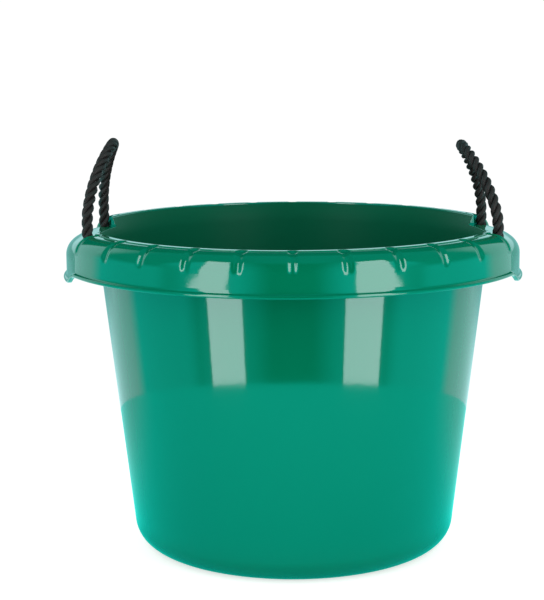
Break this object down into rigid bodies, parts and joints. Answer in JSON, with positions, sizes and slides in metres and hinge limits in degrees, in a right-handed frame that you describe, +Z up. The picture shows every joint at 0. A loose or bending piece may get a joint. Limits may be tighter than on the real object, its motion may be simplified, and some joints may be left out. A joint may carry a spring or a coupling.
{
  "type": "feed tub",
  "caption": "Round tapered moulded tub with a flared, beaded and fluted rim and swinging twisted-rope loop handles, for carrying feed, water or garden waste.",
  "frame": {"origin": "on the tub's axis, at the level of the foot ring it stands on", "axes": "+Z up along the tub's axis, -Y towards the pictured front, the handles at -X and +X"},
  "size_m": [0.4874, 0.4914, 0.437],
  "materials": {
    "shell": "glossy green moulded polyethylene",
    "rope": "black twisted polypropylene rope, three strands"
  },
  "bodies": {
    "tub": {"tub_body": "shell", "left_front_knot": "rope", "left_rear_knot": "rope", "right_front_knot": "rope", "right_rear_knot": "rope"},
    "left_handle": {"left_rope_loop": "rope"},
    "right_handle": {"right_rope_loop": "rope"}
  },
  "joints": [
    {"name": "left_handle_swing", "type": "hinge", "parent": "tub", "child": "left_handle", "pos_m": [-0.20986, 0, 0.3535], "axis": [0, 1, 0], "range_deg": [-105, 95]},
    {"name": "right_handle_swing", "type": "hinge", "parent": "tub", "child": "right_handle", "pos_m": [0.20986, 0, 0.3535], "axis": [0, -1, 0], "range_deg": [-113, 87]}
  ]
}
